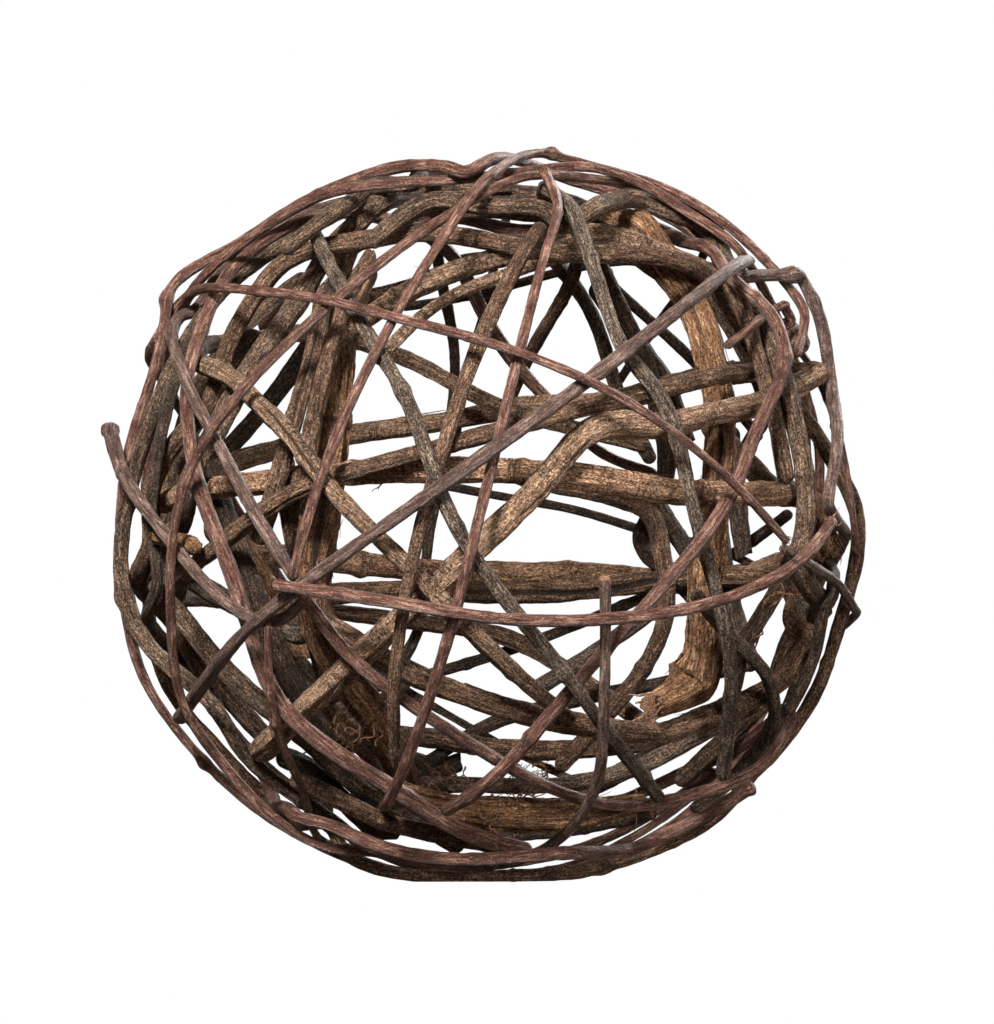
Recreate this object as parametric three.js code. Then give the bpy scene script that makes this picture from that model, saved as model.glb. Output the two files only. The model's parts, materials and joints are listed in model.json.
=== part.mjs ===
// Decorative ball wound from bent vine twigs, hollow inside, standing on a small flattened underside.
// Millimetres, +Z up, the ball's front towards -Y, origin at the middle of the underside.
import * as THREE from 'three';

// ---------- driving dimensions ----------
const BALL_RADIUS = 100;
const FLAT_DEPTH = 2.4; // how much the underside is pressed in where the ball stands
const FLAT_BITE = 0.7; // share of its own radius that a twig keeps under its middle on the flat
const TWIG_GAP = 0.34; // air left between neighbouring twigs
const RING_STEP = 23; // longest stretch between two rings of a tube
const RING_TURN = 28; // sharpest bend between two rings of a tube, in degrees
const THICK_TWIG = 5; // from this diameter on a tube has one side more
const THIN_SIDES = 5;
const THICK_SIDES = 6;
const TIP_DOME = 0.2; // height of a cut end's middle, as a share of the twig's radius

// ---------- barks ----------
const BARKS = {
  russet: { color: 0x6e4a44, roughness: 0.62 },
  plum: { color: 0x5d4748, roughness: 0.68 },
  grey: { color: 0x5e5146, roughness: 0.82 },
  dark: { color: 0x463a32, roughness: 0.85 },
  brown: { color: 0x5f4a39, roughness: 0.84 },
  tan: { color: 0x82694f, roughness: 0.86 },
  fibre: { color: 0x7a5439, roughness: 0.9 },
};

// ---------- routes ----------
// A station is [right, up] in mm from the ball's centre, laid on the ball at the leg's depth,
// or [right, up, back] where the twig leaves that depth. A leg runs over the near or the far half,
// and its depth is measured from the ball's skin to the outer side of the twig.
function leg(side, depth, stations) {
  return stations.map(([right, up, back]) => ({ side, depth, right, up, back }));
}

function near(depth, ...stations) {
  return leg(-1, depth, stations);
}

function far(depth, ...stations) {
  return leg(1, depth, stations);
}

function twig(name, bark, thick, ...legs) {
  return { name, bark, thick, stations: legs.flat() };
}

const TWIGS = [
  // thin twigs wound on last
  twig('russet_twig_01', 'russet', [2.8, 2.8, 2.4],
    far(1, [-52, -24], [-68, 2], [-84, 32]),
    near(0, [-90, 49], [-84, 59], [-61, 62], [-22, 54], [9, 45], [41, 30], [71, 6], [81, -5])),
  twig('russet_twig_02', 'russet', [3.2, 3.4, 2.8, 2.6],
    far(0, [70, 66], [46, 85], [20, 95]),
    near(0, [-5, 94], [-23, 95], [-44, 89], [-66, 75], [-85, 61], [-92, 35], [-98, 13], [-99, -14],
      [-92, -45], [-75, -66]),
    near(2, [-50, -84, -10], [-25, -95, -8], [0, -97, -3]),
    far(0, [24, -95, 4], [50, -84], [72, -62])),
  twig('russet_twig_03', 'russet', [2.8, 2.6],
    far(1, [-84, -22], [-92, 4], [-90, 34]),
    near(1, [-79, 63], [-52, 82], [-23, 91], [15, 96], [45, 90]),
    far(1, [66, 74], [82, 50], [90, 22], [88, -8])),
  twig('russet_twig_04', 'russet', [2.8, 2.6],
    near(3, [-51, -14], [-44, 10], [-23, 56], [-8, 80], [4, 94], [18, 100], [37, 93], [64, 80],
      [87, 59], [85, 46])),
  twig('russet_twig_05', 'russet', [2.6, 2.8],
    far(2, [84, -34], [90, -4], [86, 32], [72, 62], [60, 78]),
    near(3, [44, 90], [20, 94], [1, 88], [-28, 69], [-60, 39], [-75, 19], [-82, -3], [-83, -24],
      [-79, -47], [-66, -68], [-38, -88, -26], [-20, -93, -14]),
    far(3, [10, -93, 8], [38, -85], [62, -68])),
  twig('russet_twig_06', 'russet', [2.6, 3.2, 3],
    near(4, [16, 93], [19, 84], [14, 64], [2, 16], [-10, -32], [-27, -79], [-35, -91])),
  twig('plum_twig_01', 'plum', [3.6, 3.8],
    near(3, [71, 70], [41, 48], [4, 20], [-33, -6], [-53, -21], [-73, -40], [-82, -52])),
  twig('russet_twig_07', 'russet', [3.6, 3.2],
    near(2, [-55, -16], [-28, -20], [2, -25], [39, -25], [68, -19], [89, -6], [94, 1])),
  twig('plum_twig_02', 'plum', [4, 3.2, 3],
    near(4, [-101, 24], [-93, 7], [-79, -11], [-64, -25], [-58, -27], [-48, -21])),
  twig('russet_twig_08', 'russet', [2.4, 2.4],
    near(3, [-58, -27], [-57, -47], [-53, -65], [-45, -86]),
    far(0, [-24, -95, 4], [-6, -97, 12], [14, -97, 17], [30, -92, 21], [54, -78], [76, -54], [88, -24])),
  twig('russet_twig_09', 'russet', [4.6, 4.4, 3.6, 3.4, 4.2, 2.8],
    near(6, [11, -89], [-6, -84], [-38, -64], [-58, -43], [-67, -17], [-78, 17], [-80, 35],
      [-75, 56], [-66, 73]),
    far(5, [-40, 87], [-12, 78], [-3, 64], [6, 49], [19, 33], [29, 22], [47, 14])),
  twig('plum_twig_03', 'plum', [3.4, 3.4],
    far(3, [12, 88], [-20, 90], [-50, 82]),
    near(4, [-72, 67], [-81, 57], [-80, 41], [-67, 13], [-51, -14])),
  twig('russet_twig_10', 'russet', [3.8, 3.6],
    far(3, [-62, 54], [-36, 76], [-6, 86], [24, 88], [50, 80]),
    near(8, [67, 69, -20], [79, 53, -24], [81, 44, -28], [73, 25], [63, 4], [48, -16], [23, -46],
      [2, -68], [-10, -77])),
  twig('russet_twig_11', 'russet', [3.4, 3.4],
    near(8, [-49, -18], [-33, -38], [-9, -56], [16, -71], [47, -76], [73, -68, -12]),
    far(4, [84, -52], [70, -62], [46, -74], [14, -84], [-20, -84], [-50, -70])),
  twig('russet_twig_12', 'russet', [3.6, 3.8],
    far(3, [-90, -8], [-82, -42], [-62, -70]),
    near(2, [-46, -80], [-23, -89], [20, -89], [50, -85], [71, -73])),
  twig('plum_twig_04', 'plum', [3, 3, 3.2],
    near(5, [32, -15], [31, -48], [28, -75], [16, -89], [-4, -94, -12])),
  twig('plum_twig_05', 'plum', [2.8, 2.4],
    near(6, [80, -7], [95, -18], [100, -24], [97, -28, 6])),
  twig('plum_twig_06', 'plum', [3.4, 3.4],
    near(1, [71, 67], [86, 67], [91, 56], [94, 38], [93, 5]),
    far(1, [92, -14], [84, -40])),
  twig('russet_twig_13', 'russet', [2.2, 2],
    far(0, [84, 50]),
    near(0, [94, 32], [99, 8], [101, -8])),
  twig('russet_twig_14', 'russet', [2.6, 2.4],
    near(7, [66, 48], [78, 57, -14], [82, 59, -8], [84, 54, -4], [83, 45, -4])),

  // twigs of middling thickness
  twig('grey_twig_01', 'grey', [3.8, 4, 4],
    near(8, [65, -68], [66, -50], [62, -17], [53, 17], [47, 33], [36, 48], [26, 74], [17, 90]),
    far(4, [20, 77], [30, 58], [37, 37], [46, 18])),
  twig('brown_twig_01', 'brown', [3.2, 4, 4.2, 3.2],
    near(8, [-23, -65], [-24, -50], [-22, -29], [-13, 12], [-1, 48], [17, 82]),
    far(4, [26, 80], [25, 72], [16, 54], [12, 46], [4, 26])),
  twig('grey_twig_02', 'grey', [3.8, 4.2, 3.8],
    near(6, [-47, 81], [-36, 59], [-18, 27], [-10, 3], [2, -16], [17, -34], [41, -66], [47, -74])),
  twig('grey_twig_03', 'grey', [4.2, 4.2],
    far(4, [6, 92], [-28, 88], [-58, 76]),
    near(5, [-83, 46], [-92, 25], [-97, -3], [-91, -31], [-75, -51], [-57, -74], [-34, -89])),
  twig('brown_twig_02', 'brown', [3.6, 3.8],
    far(3, [-84, 16], [-90, -16], [-80, -50], [-60, -74]),
    near(0, [-38, -88], [-15, -96, -20], [14, -96, -17], [42, -91], [64, -79]),
    far(4, [78, -58], [88, -28], [88, 2])),
  twig('grey_twig_04', 'grey', [3.8, 3.6],
    near(9, [58, -20], [66, -30], [77, -43], [80, -52], [78, -60], [68, -71], [58, -78])),
  twig('brown_twig_03', 'brown', [3.6, 4, 3.6],
    far(3, [30, 86], [58, 68], [80, 42], [94, 20]),
    near(0, [101, -1], [98, -24], [89, -47], [76, -64])),
  twig('dark_twig_01', 'dark', [3.4, 3.4],
    far(3, [92, -8]),
    near(8, [92, -22], [89, -38], [83, -51])),
  twig('dark_twig_02', 'dark', [3.4, 3.6],
    near(8, [-76, 52], [-81, 40], [-87, 20], [-90, 2], [-88, -16]),
    far(3, [-84, -38], [-68, -62], [-44, -80])),
  twig('brown_twig_04', 'brown', [4.8, 5, 4.6],
    far(6, [-74, -50], [-86, -28]),
    near(10, [-90, -6], [-90, 11], [-80, 28], [-72, 50], [-56, 70], [-28, 78], [10, 78], [44, 74],
      [66, 67, -8], [74, 48], [78, 34], [82, 12])),
  twig('grey_twig_05', 'grey', [4.6, 4.4],
    far(3, [80, 34], [64, 62], [40, 82], [10, 91], [-12, 93]),
    near(4, [-21, 92], [-32, 91], [-40, 84], [-52, 72])),
  twig('tan_twig_01', 'tan', [3.4, 3.4],
    near(17, [-28, 44], [-19, 54], [-5, 63], [12, 70], [32, 74])),
  twig('dark_twig_03', 'dark', [3, 3],
    far(3, [-14, 80], [-11, 62], [-8, 43], [-9, 33], [-12, 15], [-16, -5], [-18, -28], [-23, -39],
      [-25, -58])),
  twig('dark_twig_04', 'dark', [2.4, 2.4],
    far(1, [6, 84], [2, 69], [-2, 51], [-6, 39], [-8, 24])),
  twig('dark_twig_05', 'dark', [2.6, 2.6],
    far(2, [-22, 60], [-1, 64], [24, 70], [53, 71], [70, 62])),
  twig('dark_twig_06', 'dark', [3, 3],
    far(3, [16, 84], [32, 69], [52, 51], [60, 43], [76, 24])),
  twig('dark_twig_07', 'dark', [2.4, 2.4],
    far(1, [38, 40], [48, 55], [56, 66], [60, 74])),
  twig('dark_twig_08', 'dark', [2.6, 2.4],
    far(2, [-10, 10], [2, 7], [16, 6], [27, 3], [43, -2], [66, -8], [86, -20])),
  twig('dark_twig_09', 'dark', [3, 3],
    far(4, [-62, -52], [-36, -48], [-12, -42], [13, -34], [35, -25], [60, -14], [84, 2])),
  twig('dark_twig_10', 'dark', [2.2, 2.2],
    far(1, [-42, -34], [-22, -47], [-12, -53], [8, -64], [30, -74])),
  twig('dark_twig_11', 'dark', [3.8, 3.8],
    far(6, [-38, -78], [-16, -67], [3, -56], [16, -52], [42, -46], [70, -40])),
  twig('dark_twig_12', 'dark', [4.6, 4.8, 4.6],
    near(12, [84, -8], [80, -17], [74, -27], [69, -37], [66, -50])),

  // thick inner vines
  twig('brown_vine_01', 'brown', [4.8, 4.6, 4.6],
    near(12, [82, 54, 10], [84, 48], [71, 41], [41, 34], [10, 26], [-20, 18], [-46, 10], [-68, -4],
      [-88, -19]),
    far(8, [-72, -22], [-43, -25], [-12, -29], [2, -31], [27, -44], [50, -60])),
  twig('tan_vine_01', 'tan', [6.8, 6.6, 6.6, 5.8, 5.4],
    near(11, [-58, -60], [-38, -41], [-14, -18], [7, 2], [24, 20], [30, 25.5], [44, 26], [75, 32],
      [91, 41]),
    far(7, [72, 42], [46, 36], [21, 32], [-21, 27], [-54, 21], [-80, 12])),
  twig('tan_vine_02', 'tan', [6, 6.6, 6.2, 6.6, 6.6],
    near(16, [-87, 5], [-60, 11], [-17, 14], [20, 13], [54, 8], [90, 5], [96, -5]),
    far(9, [88, -9], [66, -13], [43, -12], [-1, -15], [-43, -11], [-70, -8])),
  twig('tan_vine_03', 'tan', [4.2, 5, 5, 4.4, 4],
    near(11, [23, -53], [-14, -18], [-37, 5], [-54, 26], [-70, 40], [-78, 44]),
    far(8, [-69, 49], [-60, 52], [-38, 51], [-7, 40], [18, 31], [44, 22])),
  twig('brown_vine_02', 'brown', [5.8, 6.2, 6, 5.6],
    near(14, [-44, -27], [-30, -36], [-9, -45], [31, -54], [57, -53], [82, -42], [90, -30]),
    far(10, [84, -16], [60, -18], [24, -20], [-12, -19], [-42, -20])),
  twig('fibre_vine_01', 'fibre', [7.6, 8.6, 8.4, 8.2, 8.8, 13, 6.5],
    near(18, [36, 85, 8], [42, 82], [56, 65], [62, 44], [64, 16], [60, -13], [56, -42], [45, -51])),
  twig('fibre_vine_02', 'fibre', [6.8, 8, 9.6, 10, 9.4, 8.8, 7.6],
    near(20, [-33, 68], [-39, 48], [-43, 18], [-46, -4], [-46, -24], [-40, -38], [-31, -50],
      [-25, -61], [-21, -71])),
  twig('fibre_vine_03', 'fibre', [5, 8, 9, 8, 5],
    near(10, [-24, -73], [-12, -77], [6, -79], [24, -79], [42, -76])),
  twig('brown_vine_03', 'brown', [4.6, 4.8],
    near(15, [-37, 80], [-41, 68], [-46, 46], [-54, 13], [-60, -4])),
  twig('brown_vine_04', 'brown', [4, 4.2],
    near(15, [-31, 72], [-37, 58], [-43, 39], [-47, 21], [-50, 4])),
  twig('grey_vine_01', 'grey', [5.2, 5.8, 5.4],
    far(6, [14, 86], [-10, 88]),
    near(12, [-30, 86], [-44, 72], [-55, 55], [-67, 38], [-74, 20], [-80, 2]),
    far(8, [-84, -14], [-78, -38], [-62, -58])),
  twig('grey_vine_02', 'grey', [4.8, 5.4, 5.6, 5],
    near(6, [-30, 76], [-23, 82], [-13, 87], [4, 85], [22, 82], [42, 88], [53, 86], [61, 81],
      [71, 62, -10], [80, 34], [86, 8], [86, -12]),
    far(5, [86, -32], [76, -54], [56, -72])),
  twig('tan_vine_04', 'tan', [5.4, 5.8, 5],
    near(15, [-40, 50], [-31, 57], [-12, 67], [12, 75], [34, 78], [54, 70]),
    far(8, [70, 54], [80, 28])),
  twig('dark_vine_01', 'dark', [5.2, 5.2],
    far(10, [28, 78], [33, 68], [43, 49], [50, 28], [51, 15], [44, -6], [48, -12], [62, -24])),
  twig('brown_vine_05', 'brown', [4.8, 5, 4.6],
    far(16, [20, 10], [32, 8], [47, 2], [52, -8], [53, -26], [45, -41], [34, -54], [22, -67])),
  twig('grey_vine_03', 'grey', [4.4, 4.4],
    near(19, [-16, -71], [-1, -71], [20, -71], [36, -68], [57, -59], [73, -50])),
  twig('grey_vine_04', 'grey', [5.2, 5.4],
    far(6, [-50, 66], [-72, 46], [-84, 22], [-88, 0]),
    near(12, [-88, -20], [-78, -32], [-63, -48], [-46, -61], [-28, -77], [-8, -88])),
  twig('dark_vine_02', 'dark', [6, 6.4, 5.8],
    far(10, [-66, 52], [-80, 30]),
    near(15, [-74, 6], [-66, -10], [-58, -32], [-52, -48], [-43, -62], [-30, -74])),
];

// ---------- centre lines ----------
const COURSE_SAMPLES = 24; // fine samples between two stations
const RIM_LAYERS = 22; // depth at which a twig no longer rises near the rim

// How far a sphere of the given radius reaches to the front or back over a place.
function reachOver(radius, right, up) {
  return Math.sqrt(Math.max(radius * radius - right * right - up * up, 0));
}

// Near the rim a twig rises towards the skin, the more so the shallower it lies.
function placeOf({ right, up, back, side, depth }, radius) {
  if (back !== undefined) return new THREE.Vector3(right, back, up);
  const skin = BALL_RADIUS - radius;
  const risen = reachOver(skin, right, up) * Math.max(1 - depth / RIM_LAYERS, 0);
  const level = reachOver(skin - depth, right, up);
  return new THREE.Vector3(right, side * Math.max(risen, level), up);
}

function valueAlong(values, share) {
  const place = share * (values.length - 1);
  const index = Math.min(Math.floor(place), values.length - 2);
  return THREE.MathUtils.lerp(values[index], values[index + 1], place - index);
}

function fineCourse(places) {
  const spans = places.length - 1;
  const curve = new THREE.CatmullRomCurve3(places, false, 'centripetal');
  const heights = places.map((place) => place.length());
  const count = spans * COURSE_SAMPLES;
  return Array.from({ length: count + 1 }, (_, index) => {
    const share = index / count;
    return curve.getPoint(share).setLength(valueAlong(heights, share));
  });
}

// Rings are spread so that neither their distance nor the bend between two of them grows too large.
function ringPlaces(course) {
  const efforts = [0];
  for (let i = 1; i < course.length; i++) {
    const ahead = course[i].clone().sub(course[i - 1]);
    const behind = i > 1 ? course[i - 1].clone().sub(course[i - 2]) : ahead;
    const bend = THREE.MathUtils.radToDeg(ahead.angleTo(behind));
    const effort = Math.max(ahead.length() / RING_STEP, bend / RING_TURN);
    efforts.push(efforts[i - 1] + effort);
  }
  const rings = Math.max(Math.ceil(efforts.at(-1)), 3);
  const places = [];
  let index = 0;
  for (let ring = 0; ring <= rings; ring++) {
    const wanted = (ring / rings) * efforts.at(-1);
    while (index < course.length - 2 && efforts[index + 1] < wanted) index++;
    const part = (wanted - efforts[index]) / (efforts[index + 1] - efforts[index]);
    places.push(course[index].clone().lerp(course[index + 1], Math.min(part, 1)));
  }
  return places;
}

function layOut({ name, bark, thick, stations }) {
  const radii = stations.map((_, index) => valueAlong(thick, index / (stations.length - 1)) / 2);
  const course = fineCourse(stations.map((station, index) => placeOf(station, radii[index])));
  const points = ringPlaces(course);
  return {
    name,
    bark,
    points,
    laid: points.map((point) => point.clone()),
    radii: points.map((_, index) => valueAlong(thick, index / (points.length - 1)) / 2),
  };
}

// ---------- settling ----------
// The routes only say which twig lies over which. Settling then presses crossing twigs apart
// until each pair has its gap, and bends each twig smoothly round the others.
const SETTLE_ROUNDS = 1600;
const EASE_ROUNDS = 800; // rounds in which a twig's stiffness evens out its bends
const STIFFNESS = 0.35; // share of an uneven bend that one round evens out
const PULL_BACK = [0.15, 0.03, 0.15]; // share of its shift in x, y and z that one round takes back
const OUTER_YIELD = 0.5; // share of a push that the outer twig takes, the inner one takes the rest
const SEARCH_EVERY = 10;
const SEARCH_MARGIN = 8;

function closestShares(a0, a1, b0, b1) {
  const u = a1.clone().sub(a0);
  const v = b1.clone().sub(b0);
  const w = a0.clone().sub(b0);
  const uu = u.dot(u);
  const uv = u.dot(v);
  const vv = v.dot(v);
  const uw = u.dot(w);
  const vw = v.dot(w);
  const cross = uu * vv - uv * uv;
  let s = cross > 1e-9 ? THREE.MathUtils.clamp((uv * vw - vv * uw) / cross, 0, 1) : 0.5;
  const t = THREE.MathUtils.clamp((uv * s + vw) / vv, 0, 1);
  s = THREE.MathUtils.clamp((uv * t - uw) / uu, 0, 1);
  return [s, t];
}

function findNeighbours(strands) {
  const spans = strands.flatMap((strand, owner) =>
    strand.points.slice(1).map((end, index) => {
      const start = strand.points[index];
      const middle = start.clone().add(end).multiplyScalar(0.5);
      const reach = start.distanceTo(end) / 2 + Math.max(...strand.radii);
      return { owner, index, middle, reach };
    }));
  const pairs = [];
  spans.forEach((one, place) => {
    for (const other of spans.slice(place + 1)) {
      const near = one.reach + other.reach + SEARCH_MARGIN;
      if (other.owner !== one.owner && one.middle.distanceTo(other.middle) < near) {
        pairs.push([one, other]);
      }
    }
  });
  return pairs;
}

function shove(strand, index, share, push) {
  const spread = 1 / ((1 - share) ** 2 + share ** 2);
  strand.points[index].addScaledVector(push, (1 - share) * spread);
  strand.points[index + 1].addScaledVector(push, share * spread);
}

function pressApart(strands, one, other) {
  const a = strands[one.owner];
  const b = strands[other.owner];
  const [a0, a1] = [a.points[one.index], a.points[one.index + 1]];
  const [b0, b1] = [b.points[other.index], b.points[other.index + 1]];
  const [s, t] = closestShares(a0, a1, b0, b1);
  const placeA = a0.clone().lerp(a1, s);
  const placeB = b0.clone().lerp(b1, t);
  const apart = placeA.clone().sub(placeB);
  const distance = apart.length();
  const radiusA = THREE.MathUtils.lerp(a.radii[one.index], a.radii[one.index + 1], s);
  const radiusB = THREE.MathUtils.lerp(b.radii[other.index], b.radii[other.index + 1], t);
  const missing = radiusA + radiusB + TWIG_GAP - distance;
  if (missing <= 0) return 0;
  const heightA = a.laid[one.index].clone().lerp(a.laid[one.index + 1], s).length();
  const heightB = b.laid[other.index].clone().lerp(b.laid[other.index + 1], t).length();
  const outward = placeA.clone().add(placeB).normalize();
  const aboveB = heightA >= heightB;
  if (!aboveB) outward.negate();
  const rise = apart.dot(outward);
  const wrongWay = rise < 0 && Math.abs(rise) > distance / 2;
  const direction = wrongWay || distance < 1e-3 ? outward : apart.multiplyScalar(1 / distance);
  const push = (wrongWay ? missing + 2 * distance : missing) + 0.02;
  const shareA = aboveB ? OUTER_YIELD : 1 - OUTER_YIELD;
  shove(a, one.index, s, direction.clone().multiplyScalar(push * shareA));
  shove(b, other.index, t, direction.clone().multiplyScalar(-push * (1 - shareA)));
  return missing;
}

// The pattern seen from the front stays as laid, so twigs give way from front to back most easily.
function easeBends({ points, laid }, strength) {
  const pull = new THREE.Vector3(...PULL_BACK).multiplyScalar(-strength);
  const shifts = points.map((point, index) => point.clone().sub(laid[index]));
  points.forEach((point, index) => {
    const before = shifts[Math.max(index - 1, 0)];
    const after = shifts[Math.min(index + 1, points.length - 1)];
    const even = before.clone().add(after).multiplyScalar(0.5);
    point.addScaledVector(even.sub(shifts[index]), STIFFNESS * strength);
    point.add(shifts[index].clone().multiply(pull));
  });
}

function pressOnFloor({ points, radii }) {
  points.forEach((point, index) => {
    const lowest = FLAT_DEPTH - BALL_RADIUS + FLAT_BITE * radii[index];
    point.z = Math.max(point.z, lowest);
  });
}

function settle(strands) {
  let pairs = [];
  for (let round = 0; round < SETTLE_ROUNDS; round++) {
    if (round % SEARCH_EVERY === 0) pairs = findNeighbours(strands);
    let worst = 0;
    for (const [one, other] of pairs) {
      worst = Math.max(worst, pressApart(strands, one, other));
    }
    strands.forEach(pressOnFloor);
    const strength = 1 - round / EASE_ROUNDS;
    if (strength > 0) strands.forEach((strand) => easeBends(strand, strength));
    else if (worst < 0.01) break;
  }
}

// ---------- tubes ----------
// Each ring stands square to the twig, with one facet facing straight out of the ball.
function ringPoints(strand, index, sides) {
  const { points, radii } = strand;
  const before = points[Math.max(index - 1, 0)];
  const after = points[Math.min(index + 1, points.length - 1)];
  const along = after.clone().sub(before).normalize();
  const outward = points[index].clone().projectOnPlane(along).normalize();
  const across = along.clone().cross(outward);
  return Array.from({ length: sides }, (_, side) => {
    const angle = ((side + 0.5) / sides) * 2 * Math.PI;
    return points[index].clone()
      .addScaledVector(outward, radii[index] * Math.cos(angle))
      .addScaledVector(across, radii[index] * Math.sin(angle));
  });
}

function tube(strand) {
  const { points, radii } = strand;
  const sides = Math.max(...radii) * 2 >= THICK_TWIG ? THICK_SIDES : THIN_SIDES;
  const floor = FLAT_DEPTH - BALL_RADIUS;
  const vertices = points.flatMap((_, index) => ringPoints(strand, index, sides));
  const last = points.length - 1;
  const tipAt = (end, inner) => {
    const out = points[end].clone().sub(points[inner]).normalize();
    return points[end].clone().addScaledVector(out, TIP_DOME * radii[end]);
  };
  vertices.push(tipAt(0, 1), tipAt(last, last - 1));
  const firstTip = vertices.length - 2;
  const faces = [];
  for (let side = 0; side < sides; side++) {
    const next = (side + 1) % sides;
    for (let ring = 0; ring < last; ring++) {
      const base = ring * sides;
      faces.push(base + side, base + next, base + sides + next);
      faces.push(base + side, base + sides + next, base + sides + side);
    }
    faces.push(firstTip, next, side);
    faces.push(firstTip + 1, last * sides + side, last * sides + next);
  }
  const positions = vertices.flatMap(({ x, y, z }) => [x, y, Math.max(z, floor)]);
  const geometry = new THREE.BufferGeometry();
  geometry.setAttribute('position', new THREE.Float32BufferAttribute(positions, 3));
  geometry.setIndex(faces);
  geometry.computeVertexNormals();
  return geometry;
}

// ---------- assembly ----------
function centreOnUnderside(group) {
  group.updateMatrixWorld(true);
  const box = new THREE.Box3().setFromObject(group);
  const middle = box.getCenter(new THREE.Vector3());
  for (const mesh of group.children) mesh.geometry.translate(-middle.x, -middle.y, -box.min.z);
}

function build() {
  const strands = TWIGS.map(layOut);
  settle(strands);
  const ball = new THREE.Group();
  for (const strand of strands) {
    const material = new THREE.MeshStandardMaterial({ ...BARKS[strand.bark], metalness: 0 });
    const mesh = new THREE.Mesh(tube(strand), material);
    mesh.name = strand.name;
    ball.add(mesh);
  }
  centreOnUnderside(ball);
  return ball;
}

export default build();
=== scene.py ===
"""Looks of an open ball wound from bent vine shoots and twigs.

Every twig is one closed skin of bark carried along the run that its solid gives, with its knots and
its cut, rounded or budded ends. More shoots lie deep in the ball, without solids of their own, and root
hairs, shreds of bark and torn spikes stand where they grow.
Lengths are in metres, but in the tables of knots, splits, shoots and fibres in millimetres, where a place
(right, up) is counted from the ball's centre. The ball stands on z = 0 with its front towards -y.
"""
import json
import math

import bmesh
import bpy
import numpy as np
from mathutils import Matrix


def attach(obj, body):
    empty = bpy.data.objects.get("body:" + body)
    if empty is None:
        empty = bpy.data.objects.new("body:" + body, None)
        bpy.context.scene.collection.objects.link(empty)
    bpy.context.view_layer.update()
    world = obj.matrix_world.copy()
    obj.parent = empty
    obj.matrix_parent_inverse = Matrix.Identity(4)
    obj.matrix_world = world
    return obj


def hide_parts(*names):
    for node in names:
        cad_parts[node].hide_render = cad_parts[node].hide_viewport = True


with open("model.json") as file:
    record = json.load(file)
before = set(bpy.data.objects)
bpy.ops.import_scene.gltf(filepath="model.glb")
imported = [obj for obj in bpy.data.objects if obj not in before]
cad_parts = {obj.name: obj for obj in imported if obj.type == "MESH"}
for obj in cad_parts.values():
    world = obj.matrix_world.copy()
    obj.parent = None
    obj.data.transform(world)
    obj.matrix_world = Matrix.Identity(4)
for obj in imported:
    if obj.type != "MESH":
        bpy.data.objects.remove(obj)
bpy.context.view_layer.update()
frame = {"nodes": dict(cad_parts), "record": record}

# ---------- driving sizes ----------
MM = 0.001
BALL_RADIUS = 100 * MM
CENTRE = np.array([0.0, 0.0, 97.6 * MM])   # the ball's middle, above its small flat underside
RING_STEP = 1.0 * MM                       # distance between two rings of a finished twig
SIDES_THIN, SIDES_STOUT = 20, 30           # points round a twig, and round a stout vine
STOUT = 2.4 * MM                           # radius from which a twig counts as a stout vine
TWIG_SPACING = 1.7                         # places the grain of one twig far from the next one's
FRONT_FIRST = 0.05                         # how much a place nearer to the front counts in a search

# ---------- how bark swells, ribs and buds ----------
SWELLS = ((61 * MM, 0.035), (23 * MM, 0.03), (9 * MM, 0.02), (4.3 * MM, 0.015))  # length, share of radius
SWELL_LENGTHS = (0.8, 1.25)                # range of a swell's length, as a share of its usual one
OVAL = 0.045                               # how far a twig's section is from round, as a share
OVAL_TWIST = 60                            # most turn of the oval, in radians to the metre
RIB_TWIST = 55 * MM                        # shortest way in which a rib goes once round
RIB_SWELL = 21 * MM                        # usual length of a rib's rise and fall
RIB_PACE = (0.6, 1.4)                      # range of how fast it does, as a share of the usual pace
RIB_RISE = 0.5                             # how much a rib rises and falls, as a share of its height
FIRST_BUD = (15, 40)                       # range of a twig's first bud from its left end, in mm
BUD_SPACING = (32, 62)                     # range between buds, in mm
BUDLESS_TIP = 8 * MM                       # last stretch of a twig, which bears no bud
BUD_SWAY = 0.6                             # most turn of a bud from opposite the one before, in radians
BUD_HEIGHT = (0.10, 0.26)                  # range, as a share of the radius
BUD_WIDTH = (0.9, 1.6)                     # range of the half width, in mm
BUD_ALL_ROUND, BUD_ONE_SIDE = 0.45, 0.9    # shares of a bud's height that ring the twig and that lean out
SCAR_RING = 0.5 * MM                       # half width of the dark ring beyond a bud
SCAR_PLACE, SCAR_DARKNESS = 0.6, 4         # how far beyond it, in bud widths, and how dark for its height
KNOT_MARGIN, KNOT_SWAY = 0.5 * MM, 0.8     # a large knot's reach over the radius, and its most turn
SPLIT_FADE = 8 * MM                        # way in which a split opens at its ends
SPLIT_WAVE, SPLIT_SWAY = 9 * MM, 0.15      # length and width, in radians, of a split's wander
SPLIT_WIDTH = 0.24                         # half width of a split, in radians
SHADE_SPREAD = 0.06                        # most difference in lightness between twigs of one bark

# Each kind of growth draws its random numbers from seeds of its own.
TWIG_SEED, HAIR_SEED, SHRED_SEED, SPIKE_SEED = 500, 37, 53, 71
ANY_TURN, ANY_START = 6.3, 6               # most random turn round a twig, and start of a wave, in radians

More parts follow.
